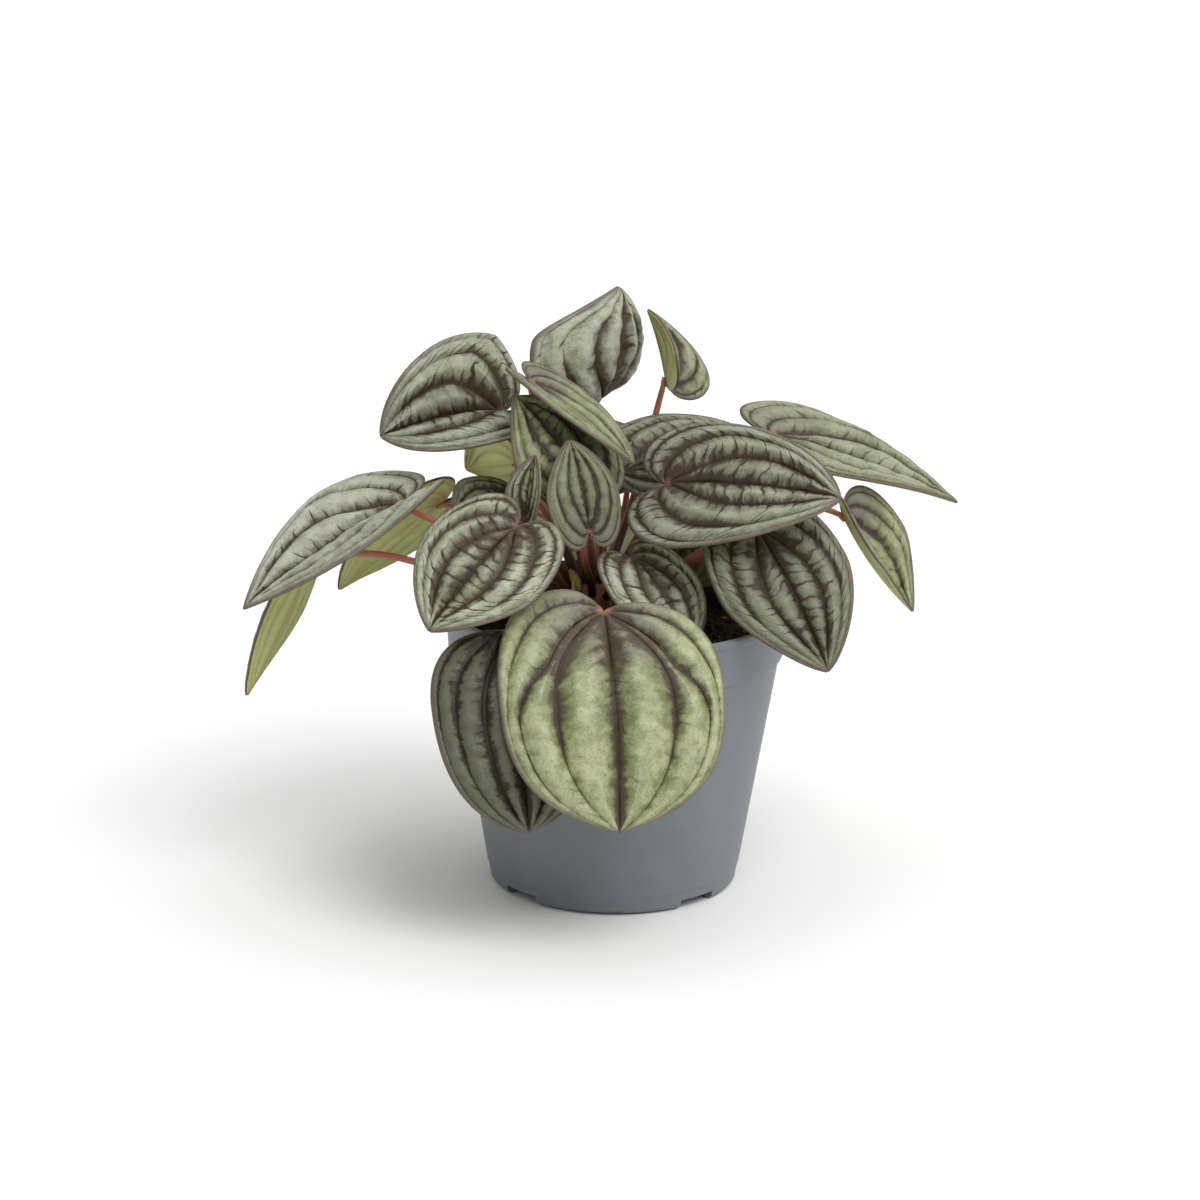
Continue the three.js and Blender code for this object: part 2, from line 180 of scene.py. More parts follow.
def build_studio():
    bm = bmesh.new()
    bmesh.ops.create_grid(bm, x_segments=1, y_segments=1, size=12)
    mesh = bpy.data.meshes.new("floor")
    bm.to_mesh(mesh)
    bm.free()
    floor = add_object("floor", mesh)
    material, tree = new_material("white_paper_sweep")
    finish_material(tree, {"Base Color": "#F5F5F5", "Roughness": 0.9, "Specular IOR Level": 0.1})
    mesh.materials.append(material)

    for name, strength, spread, direction in SOFTBOXES:
        light = bpy.data.lights.new(name, "SUN")
        light.energy = strength
        light.angle = math.radians(spread)
        lamp = add_object(name, light)
        lamp.rotation_euler = Vector(direction).to_track_quat("-Z", "Y").to_euler()

    world = bpy.data.worlds.new("white_studio")
    world.use_nodes = True
    world.node_tree.nodes["Background"].inputs["Color"].default_value = linear("#FFFFFF")
    world.node_tree.nodes["Background"].inputs["Strength"].default_value = 0.42
    bpy.context.scene.world = world
    bpy.context.scene.view_settings.view_transform = "Standard"
    print("lights:", len(SOFTBOXES))


build_studio()


# %% [markdown]
# ## The pot's plastic
#
# Nursery pots are injection moulded from polypropylene, coloured grey through and through. The
# mould is lightly blasted, which leaves a fine matt grain that breaks up the reflections. Dust
# clings to the grain, so the grey isn't quite even. The inner wall above the soil is made nearly
# black brown, darkest towards the peat.

# %% Moulded polypropylene
def moulded_polypropylene():
    material, tree = new_material("moulded_polypropylene_grey")
    place = add_node(tree, "TexCoord").outputs["Object"]
    # cloudy dust in patches about 20 mm across
    dust = add_node(tree, "TexNoise", {"Vector": place, "Scale": 50, "Detail": 5,
                                       "Roughness": 0.6})
    grey = add_node(tree, "Mix", {0: dust, 6: "#666A70", 7: "#7A7E84"}, data_type="RGBA")
    # above the band's foot, the inner wall lies less than 52.2 mm from the axis, once its lean of
    # 0.068 is taken off
    height = add_node(tree, "SeparateXYZ", {"Vector": place}).outputs["Z"]
    level = add_node(tree, "Mapping", {"Vector": place, "Scale": (1, 1, 0)})
    away = add_node(tree, "VectorMath", [level], operation="LENGTH")
    upright = add_node(tree, "Math", [height, -0.068, away], operation="MULTIPLY_ADD")
    inner = add_node(tree, "MapRange", [upright, 0.0521, 0.0524, 1, 0])
    band = add_node(tree, "MapRange", [height, 0.0838, 0.0842, 0, 1])
    # the inner wall is made nearly black brown from the band's foot up to 93 mm, and fades back to
    # grey by 98.5 mm
    inner_wall_darkening = add_node(tree, "MapRange", [height, 0.0985, 0.093, 0, 0.93])
    for share in (band, inner):
        inner_wall_darkening = add_node(tree, "Math", [inner_wall_darkening, share], operation="MULTIPLY")
    grey = add_node(tree, "Mix", {0: inner_wall_darkening, 6: grey, 7: "#1C150F"}, data_type="RGBA")
    # the blasted grain is about 0.1 mm; it is drawn at 0.5 mm, so that it shows
    grain = add_node(tree, "TexNoise", {"Vector": place, "Scale": 2000, "Detail": 2})
    bump = add_node(tree, "Bump", {"Height": grain, "Strength": 0.15, "Distance": 0.0002})
    gloss = add_node(tree, "MapRange", [dust, 0, 1, 0.4, 0.6])
    finish_material(tree, {"Base Color": grey, "Roughness": gloss, "IOR": 1.49, "Normal": bump})
    return material


# %% [markdown]
# ## The pot
#
# The pot is round, so one profile spun about its axis gives the wall, the band below the lip, the
# foot and the base plate in one go. The edges of the real moulding are rounded, so the sharp
# rings of the spun mesh get a small bevel. The drain notches and holes are cut afterwards.

# %% Spin the pot's profile
POT_PROFILE = [
    (0, 0), (14, 0), (15.5, 3), (37.5, 3), (38.5, 0), (41.5, 0), (43.6, 1.4), (44.4, 6.6),
    (44.8, 7), (57.3, 83), (58.5, 83.5), (59.4, 97), (60, 97.4), (60, 99.6), (59.5, 100),
    (58.4, 100), (57.2, 83), (56, 82), (43.5, 6.6), (41.5, 4.3), (0, 4.3),
]
FIRST_NOTCH = -47.5      # degrees from the front
DRAIN_RADIUS = 3.2       # mm


def spin_profile(profile, steps, centre_x=0.0):
    """Turns (radius, height) pairs in mm about an upright axis into a closed bmesh."""
    bm = bmesh.new()
    rail = [bm.verts.new(Vector((radius, 0, height)) * MM) for radius, height in profile]
    edges = [bm.edges.new(pair) for pair in zip(rail, rail[1:])]
    bmesh.ops.spin(bm, geom=rail + edges, cent=(0, 0, 0), axis=(0, 0, 1), angle=math.tau,
                   steps=steps, use_merge=True, use_duplicate=False)
    bmesh.ops.remove_doubles(bm, verts=bm.verts, dist=0.01 * MM)
    bmesh.ops.recalc_face_normals(bm, faces=bm.faces)
    bmesh.ops.translate(bm, verts=bm.verts, vec=(centre_x * MM, 0, 0))
    return bm


def cut(piece, cutter_bm, place, turn):
    """Takes a cutter out of a piece, once it is moved to a place in mm and turned by degrees."""
    bmesh.ops.translate(cutter_bm, verts=cutter_bm.verts, vec=[c * MM for c in place])
    bmesh.ops.rotate(cutter_bm, verts=cutter_bm.verts,
                     matrix=Matrix.Rotation(math.radians(turn), 3, "Z"))
    mesh = bpy.data.meshes.new("cutter")
    cutter_bm.to_mesh(mesh)
    cutter_bm.free()
    cutter = add_object("cutter", mesh)
    boolean = piece.modifiers.new("cut", "BOOLEAN")
    boolean.object = cutter
    boolean.solver = "EXACT"
    evaluated = piece.evaluated_get(bpy.context.evaluated_depsgraph_get())
    result = bpy.data.meshes.new_from_object(evaluated)
    piece.modifiers.clear()
    bpy.data.objects.remove(cutter)
    piece.data = result


def build_pot():
    bm = spin_profile(POT_PROFILE, steps=144)
    rings = [e for e in bm.edges
             if e.is_manifold and e.calc_face_angle(0) > math.radians(24)
             and abs(e.verts[0].co.z - e.verts[1].co.z) < 0.01 * MM]
    bmesh.ops.bevel(bm, geom=rings, affect="EDGES", offset=0.3 * MM, offset_type="OFFSET",
                    segments=2, profile=0.5, material=-1, clamp_overlap=True)
    pot = finish_piece(bm, "nursery_pot", [moulded_polypropylene()], "pot")

    # eight notches in the foot's lower edge, every other one shallow, and four drain holes
    for quarter in range(0, 360, 90):
        for width, height, turn in [(15, 3.6, FIRST_NOTCH), (10, 1.1, FIRST_NOTCH + 45)]:
            notch = bmesh.new()
            bmesh.ops.create_cube(notch, size=MM)
            bmesh.ops.scale(notch, verts=notch.verts, vec=(width, 12, 2 * height))
            cut(pot, notch, (0, -41.5, 0), turn + quarter)
        hole = bmesh.new()
        bmesh.ops.create_cone(hole, cap_ends=True, segments=24, radius1=DRAIN_RADIUS * MM,
                              radius2=DRAIN_RADIUS * MM, depth=12 * MM)
        cut(pot, hole, (0, -34, 3), FIRST_NOTCH + quarter)
    pot.data.set_sharp_from_angle(angle=math.radians(35))
    print("pot:", len(pot.data.polygons), "faces, top at", max(v.co.z for v in pot.data.vertices))


build_pot()


# %% [markdown]
# ## The peat
#
# Potting soil is milled peat: dark brown crumbs and fibres, nearly black when it is moist, with a
# few pale bits of fibre. A bump alone would look like sandpaper, so the surface is really lumpy
# and loose crumbs lie on it.

# %% Peat material
def milled_peat(name, dark, pale):
    material, tree = new_material(name)
    place = add_node(tree, "TexCoord").outputs["Object"]
    # crumbs of about 2 mm, and fibre between them of about 0.7 mm
    crumbs = add_node(tree, "TexVoronoi", {"Vector": place, "Scale": 500})
    fibres = add_node(tree, "TexNoise", {"Vector": place, "Scale": 1400, "Detail": 6,
                                         "Roughness": 0.7})
    mixed = add_node(tree, "Math", [crumbs, fibres], operation="MULTIPLY")
    shade = add_node(tree, "MapRange", [mixed, 0.05, 0.5, 0, 1])
    brown = add_node(tree, "Mix", {0: shade, 6: dark, 7: pale}, data_type="RGBA")
    bump = add_node(tree, "Bump", {"Height": fibres, "Strength": 0.8, "Distance": 0.0006})
    finish_material(tree, {"Base Color": brown, "Roughness": 0.92, "IOR": 1.4, "Normal": bump})
    return material


# %% Peat surface and crumbs
CROWN_X = -8             # mm; the plant stands a little left of the pot's middle
CROWN_HOLE_RADIUS = 12.4
CROWN_HOLE_FLOOR = 79.6


def soil_height(x, y):
    """Height of the peat at x, y, all in mm: a low mound with lumps of several sizes."""
    away = math.hypot(x, y)
    level = 89.5 - 3 * max(0.0, (away - 20) / 36) ** 1.7
    lumps = 0.55 * (math.sin(x * 0.31 + 1) * math.cos(y * 0.27) + math.sin(x * 0.13 - y * 0.19))
    crumbs = 0.9 * noise.noise(Vector((x, y, 3)) * 0.35)
    crumbs += 0.5 * noise.noise(Vector((x, y, 9)) * 0.9)
    return level + lumps * 0.7 + crumbs


def spots_on_peat(rng, count, reach):
    """Random places in mm within reach of the pot's axis, but not within 14 of the crown's."""
    for _ in range(count):
        away = reach * math.sqrt(rng.random())
        turn = rng.uniform(0, math.tau)
        x, y = away * math.cos(turn), away * math.sin(turn)
        if math.hypot(x - CROWN_X, y) >= 14:
            yield x, y, soil_height(x, y)


def build_soil():
    peat = milled_peat("moist_milled_peat", "#0D0805", "#382A1C")
    top = [(radius * 55.5 / 52, 88) for radius in range(51, 0, -1)]
    side = [(0, 4.6), (41, 4.6), (43.3, 8.6), (55.2, 81), (55.9, 86.5)]
    bm = spin_profile(side + top + [(0, 88)], steps=180)
    for vert in bm.verts:
        x, y = vert.co.x / MM, vert.co.y / MM
        if vert.co.z > 87 * MM:
            in_hole = math.hypot(x - CROWN_X, y) < CROWN_HOLE_RADIUS
            vert.co.z = (CROWN_HOLE_FLOOR if in_hole else soil_height(x, y)) * MM
    finish_piece(bm, "peat", [peat], "soil")

    rng = random.Random(12)
    bm = bmesh.new()
    for x, y, ground in spots_on_peat(rng, 1500, 54):
        size = rng.uniform(0.35, 1.1) if rng.random() < 0.9 else rng.uniform(1.1, 1.7)
        crumb = bmesh.ops.create_icosphere(bm, subdivisions=1, radius=size * MM)["verts"]
        sides = [rng.uniform(*limits) for limits in [(0.6, 1.8), (0.6, 1.1), (0.5, 0.9)]]
        stretch = Matrix.Diagonal(sides).to_4x4()
        turn = rng.uniform(0, math.tau)
        spin = Matrix.Rotation(turn, 4, (rng.random(), rng.random(), rng.random()))
        place = Matrix.Translation(Vector((x, y, ground + size * 0.2)) * MM)
        bmesh.ops.transform(bm, matrix=place @ spin @ stretch, verts=crumb)
    finish_piece(bm, "peat_crumbs", [peat], "soil")

    bm = bmesh.new()
    flat = Matrix.Diagonal((1.4, 1, 0.7)).to_4x4()
    for x, y, ground in spots_on_peat(rng, 90, 53):
        size = rng.uniform(0.25, 0.55)
        speck = bmesh.ops.create_icosphere(bm, subdivisions=1, radius=size * MM)["verts"]
        place = Matrix.Translation(Vector((x, y, ground + 0.5)) * MM)
        bmesh.ops.transform(bm, matrix=place @ flat, verts=speck)
    fibre = milled_peat("pale_peat_fibre", "#8C7558", "#C9B694")
    finish_piece(bm, "peat_specks", [fibre], "soil")


build_soil()


# %% [markdown]
# ## The leaf's upper skin
#
# A peperomia leaf is thick and waxy. Air under the clear top skin makes the upper face silvery.
# Along the veins the skin lies flat on the dark flesh, so each vein is a dark furrow whose edge
# fades out softly and unevenly, and thin cross veins run from it into the silver like thorns.
#
# The pattern has to follow the veins, so it can't come from plain space coordinates. Each blade
# brings its own map instead: U counts the cross veins and V counts the main veins. Attributes hold
# distances: furrow is 1 at the edge of a vein's dark band, vein_gap and edge_gap are millimetres,
# and heart_share is the distance from the heart as a share of the blade's length. Cross_depth is
# how far a cross vein reaches over its panel, freshness tints the whole blade, and the last
# attribute paints shade over a whole blade that lies in the shade of other leaves.
#
# The colours are coats laid over each other: wide and pale ones first, then narrow dark ones, and
# at last the pink spot at the heart and the yellow tint of a new shoot. Three of the wide coats
# are
# painted light: a painted highlight on the crest of each puffed panel, painted shade on the slopes
# down into the furrows, and painted shade over a leaf that lies in the shade of others.

# %% Waxy upper skin
def waxy_upper_skin():
    material, tree = new_material("waxy_silver_leaf_skin")
    place = add_node(tree, "TexCoord").outputs["Object"]
    vein_map = add_node(tree, "UVMap", uv_map="vein_map").outputs["UV"]
    axes = add_node(tree, "SeparateXYZ", {"Vector": vein_map})
    vein_gap, furrow, edge_gap, heart_share, depth, fresh, dark = [
        add_node(tree, "Attribute", attribute_name=name).outputs["Fac"]
        for name in ("vein_gap", "furrow", "edge_gap", "heart_share", "cross_depth", "freshness",
                     "painted_shade")]

    # noise at five sizes: clouds of 12 mm, blots of 4 mm, speckles of 1 mm, grain of 0.4 mm and
    # feathery streaks across the veins, 0.8 mm apart
    streaks = add_node(tree, "Mapping", {"Vector": vein_map, "Scale": (5, 1.6, 1)})
    clouds, blots, speckle, grain, feather = [
        add_node(tree, "TexNoise", {"Vector": where, "Scale": scale, "Detail": detail,
                                    "Roughness": roughness})
        for where, scale, detail, roughness in [
            (place, 85, 2, 0.5), (place, 260, 4, 0.6), (place, 1000, 4, 0.65),
            (place, 2400, 2, 0.5), (streaks, 1, 3, 0.6)]]
    cloudy = add_node(tree, "Math", [clouds, 0.5], operation="SUBTRACT")

    # rise goes from 0 at the inner vein of a panel to 1 at its outer vein
    outwards = add_node(tree, "Math", [axes.outputs["Y"]], operation="ABSOLUTE")
    rise = add_node(tree, "Math", [outwards], operation="FRACT")
    crest_share = add_node(tree, "Math", [outwards, 0.5], operation="PINGPONG")

    # a cross vein lies where U is a whole number, and thins out on its way to the outer vein;
    # shorter ones grow back from the outer vein, half way between the others
    count = add_node(tree, "Math", [feather, 0.3, axes.outputs["X"]], operation="MULTIPLY_ADD")
    left = add_node(tree, "Math", [rise, depth], operation="SUBTRACT")
    gaps, grown = [], []
    for shift, breadths, reaches in [
            (0, [rise, 0, 1, 0.09, 0.025], [left, -0.2, 0.12, 1, 0]),
            (0.5, [rise, 0.4, 1, 0.02, 0.08], [rise, 0.55, 0.85, 0, 0.85])]:
        shifted = add_node(tree, "Math", [count, shift], operation="ADD")
        gaps.append(add_node(tree, "Math", [shifted, 0.5], operation="PINGPONG"))
        breadth = add_node(tree, "MapRange", breadths)
        share = add_node(tree, "Math", [gaps[-1], breadth], operation="DIVIDE")
        stroke = add_node(tree, "MapRange", [share, 0.4, 1.6, 1, 0], **SMOOTH)
        reach = add_node(tree, "MapRange", reaches, **SMOOTH)
        grown.append(add_node(tree, "Math", [stroke, reach], operation="MULTIPLY"))
    inner_thorn, outer_thorn = grown
    outer_thorn = add_node(tree, "Math", [outer_thorn, depth], operation="MULTIPLY")
    thorns = add_node(tree, "Math", [inner_thorn, outer_thorn], operation="MAXIMUM")

    # the dark band: all the noises move its edge, and it runs out a little beside each thorn
    hollow = add_node(tree, "MapRange", [gaps[0], 0, 0.4, 1, 0], **SMOOTH)
    hollow = add_node(tree, "Math", [hollow, depth], operation="MULTIPLY")
    ragged = furrow
    for shove, amount in [(feather, 1.5), (blots, 1.6), (speckle, 0.7), (cloudy, 2.2),
                          (hollow, -1)]:
        ragged = add_node(tree, "Math", [shove, amount, ragged], operation="MULTIPLY_ADD")

    # how strong each coat is: it changes smoothly between two values of what it follows
    # the first coat here is painted shade on the slopes down into each furrow, laid over the
    # darker green that the leaf has beside its veins
    furrow_slope_shade, band, core, margin, bruise, heart, spots, crest = [
        add_node(tree, "MapRange", ramp, **SMOOTH) for ramp in [
            [ragged, 2.5, 5.2, 0.7, 0], [ragged, 2.3, 3.2, 0.9, 0], [vein_gap, 0.1, 1.2, 0.6, 0],
            [edge_gap, 0.2, 2.0, 0.85, 0], [heart_share, 0.05, 0.42, 0.7, 0],
            [heart_share, 0.01, 0.05, 0.8, 0], [speckle, 0.32, 0.46, 0.45, 0],
            [crest_share, 0.1, 0.5, 0, 0.9]]]
    firm = add_node(tree, "MapRange", [fresh, 0.3, 0.9, 1, 0.4])
    pink = add_node(tree, "MapRange", [fresh, 0.2, 0.9, 0.4, 1])
    sprout = add_node(tree, "MapRange", [fresh, 1.2, 2, 0, 0.9])
    # the dark olive coat of a leaf in the shade of others is painted shade over the whole blade
    core, thorns, bruise, heart, crest, painted_shade_coat = [
        add_node(tree, "Math", [coat, share], operation="MULTIPLY")
        for coat, share in [(core, firm), (thorns, firm), (bruise, fresh), (heart, pink),
                            (crest, grain), (dark, 0.8)]]
    mottle = add_node(tree, "Math", [grain, 0.5, blots], operation="MULTIPLY_ADD")
    mottle = add_node(tree, "Math", [cloudy, 0.5, mottle], operation="MULTIPLY_ADD")
    mottle = add_node(tree, "MapRange", [mottle, 0.6, 0.88, 0, 1])

    # the colours of the coats, mixed from an older leaf's and a fresher one's where they differ
    silver, green, pale, slope_shade_colour, purple = [
        add_node(tree, "Mix", {0: share, 6: one, 7: other}, data_type="RGBA")
        for share, one, other in [
            (mottle, "#82846F", "#ADAF9D"), (mottle, "#727D48", "#ADB086"),
            (fresh, "#B9BDAC", "#B9BD9B"), (fresh, "#514D3E", "#5A6138"),
            (fresh, "#463729", "#4F4136")]]
    # a leaf in shade also gets its dark bands painted darker: painted shade
    purple = add_node(tree, "Mix", {0: dark, 6: purple, 7: "#1A120A"}, data_type="RGBA")
    skin = add_node(tree, "Mix", {0: fresh, 6: silver, 7: green}, data_type="RGBA")
    # the pale coat on the crest of each panel is a painted highlight, where light falls on the
    # puff
    skin = glaze(tree, skin, [
        (crest, pale), (spots, "#5F614A"), (painted_shade_coat, "#3D402F"), (furrow_slope_shade, slope_shade_colour), (bruise, "#6F6869"),
        (band, purple), (thorns, "#3A2D20"), (core, "#2B2017"), (margin, "#64574D"),
        (heart, "#A87463"), (sprout, "#A3992F")])

    # the fine grain of the skin's cells, drawn at 0.6 mm, low lumps, and cross veins pressed in
    cells = add_node(tree, "TexVoronoi", {"Vector": place, "Scale": 1600})
    height = add_node(tree, "Math", [thorns, 2.5, cells], operation="MULTIPLY_ADD")
    height = add_node(tree, "Math", [blots, -2.5, height], operation="MULTIPLY_ADD")
    bump = add_node(tree, "Bump", {"Height": height, "Strength": 0.4, "Distance": 0.0002},
                    invert=True)
    gloss = add_node(tree, "MapRange", [speckle, 0, 1, 0.34, 0.55])
    finish_material(tree, {"Base Color": skin, "Roughness": gloss, "IOR": 1.45,
                           "Specular IOR Level": 0.35, "Normal": bump})
    return material


# %% [markdown]
# ## The lower skin and the margin
#
# The lower face has no air under its skin, so it is a plain smooth olive green, a little yellow
# where light comes through. On a leaf in the shade of others it is painted a darker olive brown:
# painted shade. The margin is a thin line of pinkish brown.

# %% Smooth lower skin and pink margin
def smooth_lower_skin():
    material, tree = new_material("smooth_olive_leaf_skin")
    place = add_node(tree, "TexCoord").outputs["Object"]
    vein_gap, edge_gap, heart_share, fresh, dark = [
        add_node(tree, "Attribute", attribute_name=name).outputs["Fac"]
        for name in ("vein_gap", "edge_gap", "heart_share", "freshness", "painted_shade")]
    blots = add_node(tree, "TexNoise", {"Vector": place, "Scale": 120, "Detail": 3})
    veins = add_node(tree, "MapRange", [vein_gap, 0.2, 1.8, 0.35, 0], **SMOOTH)
    rim = add_node(tree, "MapRange", [edge_gap, 0.1, 1.4, 0.4, 0], **SMOOTH)
    # painted shade: the lower face of a leaf in the shade of others is painted a dark olive brown
    painted_shade_coat = add_node(tree, "MapRange", [dark, 0.35, 0.85, 0, 0.8])
    sprout = add_node(tree, "MapRange", [fresh, 1.2, 2, 0, 0.9])
    heart = add_node(tree, "MapRange", [heart_share, 0.02, 0.15, 0.7, 0], **SMOOTH)
    skin = add_node(tree, "Mix", {0: blots, 6: "#C3CA7E", 7: "#D8DD9A"}, data_type="RGBA")
    skin = glaze(tree, skin, [(painted_shade_coat, "#4A4426"), (sprout, "#C4B838"), (veins, "#B5A67E"),
                              (rim, "#A08F6C"), (heart, "#B57F68")])
    cells = add_node(tree, "TexVoronoi", {"Vector": place, "Scale": 2200})
    bump = add_node(tree, "Bump", {"Height": cells, "Strength": 0.15, "Distance": 0.0002})
    finish_material(tree, {"Base Color": skin, "Roughness": 0.45, "IOR": 1.45, "Normal": bump})
    return material


def pink_margin():
    material, tree = new_material("pink_brown_leaf_margin")
    place = add_node(tree, "TexCoord").outputs["Object"]
    blots = add_node(tree, "TexNoise", {"Vector": place, "Scale": 300, "Detail": 2})
    skin = add_node(tree, "Mix", {0: blots, 6: "#5A4D43", 7: "#726558"}, data_type="RGBA")
    finish_material(tree, {"Base Color": skin, "Roughness": 0.5, "IOR": 1.45})
    return material


# %% [markdown]
# ## The leaves, one by one
#
# Each row of the table is one leaf: where its heart (the end that the stalk holds) and its tip
# are, in millimetres, and how wide it is. All else has a usual value, and a row only names what is
# different. In degrees, roll turns the blade about its midrib, twist adds to that towards the tip,
# keel lifts both halves from the midrib, droop bends them down again towards the margin, bend
# arches the midrib, and arrival is how steeply the stalk meets the blade. Bow pushes the stalk's
# middle aside, in millimetres. Point blunts the tip, broad says where the blade is widest, and
# lobes makes its two lobes larger or smaller.
#
# Fresh tints it, and dark paints shade on it: young leaves are greener, a leaf in the shade of
# others is painted darker, and a fresh of 2 makes a yellow new shoot. Furrows widens the dark
# bands, cross is how many millimetres lie between cross veins, depths are the lengths that they
# can have, and ends says how far up the blade each vein shows (9 is all the way). Veins places the
# side veins between the midrib, at 0, and the margin, at 1, and can move them on the way up.
#
# A last, short table holds a young leaf deep in the rosette, which is too small to need a solid.

# %% Table of leaves
USUAL = dict(roll=0, twist=0, keel=12, droop=30, bend=30, arrival=45, bow=(0, 0, 0), point=0.14,
             broad=0.36, lobes=(1, 1), fresh=0.4, dark=0.0, furrows=1.0, cross=4.4,
             depths=(0.3, 0.55, 0.8, 1.1), ends=(9, 1.05, 0.9, 0.8),
             veins=((0, (0.38, 0.72, 0.92)),))
LEAVES = [
    dict(heart=(-42.5, 35, 159.5), tip=(-83, 15, 155), width=60, roll=-44, keel=38, droop=16,
         bend=36, point=0.36, broad=-0.14, lobes=(0.6, 1.4), twist=-26, bow=(0, 6, 0), fresh=0.0,
         dark=0.2, furrows=1.25),
    dict(heart=(-7, 38, 164.5), tip=(-1, 46, 203), width=77, roll=98, keel=6, droop=60, bend=36,
         point=0.16, lobes=(1.5, -0.8), fresh=0.05, dark=0.05, furrows=1.2, cross=5.5,
         depths=(0.15, 0.3, 0.5)),
    dict(heart=(17, 40, 169.5), tip=(10, 54, 193.5), width=37.5, roll=44, keel=40, droop=12,
         bend=14, point=0, broad=0.08, lobes=(0.8, 1), arrival=28, bow=(2.5, 9, 0), fresh=0.7,
         dark=0.35, cross=5.5, depths=(0.2, 0.4, 0.8)),
    dict(heart=(-30.5, 6.5, 176.6), tip=(5, -12, 152.5), width=29, roll=-3, keel=17, droop=8,
         bend=8, point=0.08, arrival=125, bow=(4, 3, 0), fresh=0.85, dark=0.45, furrows=0.5,
         depths=(0.05, 0.15, 0.3)),
    dict(heart=(-10, -10, 144), tip=(-36, 1.5, 172.5), width=42, roll=-26, keel=10, droop=20,
         bend=20, point=0.1, fresh=1.0, dark=0.5, furrows=1.25),
    dict(heart=(17, -12, 145.5), tip=(75, -30, 145.5), width=54, roll=40, keel=16, droop=34,
         bend=24, point=0.2, broad=0.14, fresh=0.15, dark=0.35, furrows=1.3),
    dict(heart=(1, 12, 143), tip=(48, 38, 151.5), width=44, roll=26, keel=10, droop=20, bend=20,
         point=0.1, lobes=(0.6, 0.3), fresh=0.2, dark=0.42, furrows=1.1),
    dict(heart=(54, 26, 154), tip=(118, 6, 136), width=54, roll=9, droop=14, bend=10, point=0,
         broad=0.06, lobes=(1.2, 0.7), arrival=80, fresh=0.6, dark=0.3, furrows=0.45,
         depths=(0.1, 0.2, 0.4, 0.6)),
    dict(heart=(78, 0, 133), tip=(102.5, -10, 101), width=35, roll=8, keel=44, droop=12, bend=-26,
         point=0.06, lobes=(1, 0.9), fresh=1.0, dark=0.3, furrows=0.6),
    dict(heart=(47, -22, 133), tip=(71, -50, 91), width=48, roll=24, point=0.12, fresh=0.3,
         dark=0.7, furrows=1.2),
    dict(heart=(5, -20, 121), tip=(25, -36, 93), width=38, roll=10, bend=40, point=0.16, fresh=0.2,
         dark=0.05),
    dict(heart=(-4.5, -52, 111), tip=(1.5, -92, 48), width=76, keel=10, bend=60, point=0.38,
         lobes=(0.25, 0.85), fresh=0.9, dark=0.1, furrows=1.35, cross=5.5,
         ends=(9, 0.85, 0.8, 0.7), depths=(0.05, 0.15, 0.3, 0.6),
         veins=((0, (0.48, 0.57, 0.78)), (0.36, (0.52, 0.6, 0.86)), (0.58, (0.52, 0.85, 0.95)))),
    dict(heart=(-37, -54, 105), tip=(-28, -88, 46), width=55, roll=12, bend=60, point=0.28,
         lobes=(1, 0), fresh=0.1, dark=1.0, furrows=1.6, depths=(0.1, 0.3, 0.5)),
    dict(heart=(-34, -39, 136.5), tip=(-62, -61, 106.5), width=48, roll=-28, keel=16, droop=34,
         point=0.16, fresh=0.3, furrows=1.4),
    dict(heart=(-10, -28, 132.5), tip=(-17, -16, 161.5), width=28, keel=15, bend=20, point=0.12,
         fresh=0.75, dark=0.75, furrows=0.85, cross=5.5, depths=(0.15, 0.3, 0.5)),
    dict(heart=(-31, -26, 136.5), tip=(-28, -20, 157), width=16, keel=40, droop=10, bend=20,
         point=0.12, bow=(0, 4, 0), dark=0.4, furrows=0.7),
    dict(heart=(-38, 5, 137), tip=(-56, -10, 134), width=28, roll=-20, droop=20, bend=20,
         dark=0.9),
    dict(heart=(-35, 20, 144.5), tip=(-54, 34, 139), width=33, roll=54, droop=20, bend=20,
         bow=(3, 2, 0), dark=0.05),
    dict(heart=(-74, -5, 135), tip=(-127, -28, 104), width=61, roll=-13, keel=21, droop=14,
         bend=14, point=0.02, broad=0.02, lobes=(1, 1.15), twist=-34, fresh=0.0, furrows=0.5,
         depths=(0.1, 0.2, 0.3, 0.45)),
    dict(heart=(-62, 27, 128.5), tip=(-98, 18, 98.5), width=40, roll=46, droop=20, bend=20,
         point=0.1),
    dict(heart=(-107, 6, 112), tip=(-129.5, 0, 64.5), width=40, roll=32, droop=16, bend=-6,
         point=0.06),
    dict(heart=(-32, 46, 122), tip=(-62, 72, 96), width=46, bow=(0, 0, 8), fresh=0.3, dark=0.1),
    dict(heart=(-6, 52, 119), tip=(0, 90, 81), width=58, bend=50, point=0.2, fresh=0.5, dark=0.6),
    dict(heart=(32, 40, 131), tip=(54, 72, 106), width=46, point=0.16, fresh=0.2, dark=0.3),
    dict(heart=(38, 34, 115), tip=(66, 54, 87), width=44, fresh=0.3, dark=0.5),
    dict(heart=(-30, 28, 112), tip=(-58, 40, 96), width=36, fresh=0.3, dark=0.4),
    dict(heart=(4, 40, 134), tip=(-6, 60, 152), width=34, bend=20, fresh=0.5, dark=0.6),
    dict(heart=(-14, -17, 110), tip=(-16, -19, 117), width=5, keel=20, droop=10, bend=10,
         fresh=2.0),
]
YOUNG_LEAVES = [
    dict(heart=(25, 9, 105), tip=(24, 5, 121), width=27, keel=14, bend=20, lobes=(0.6, 0.6),
         dark=0.95, furrows=1.2),
]
for leaf in LEAVES + YOUNG_LEAVES:
    leaf.update({**USUAL, **leaf})


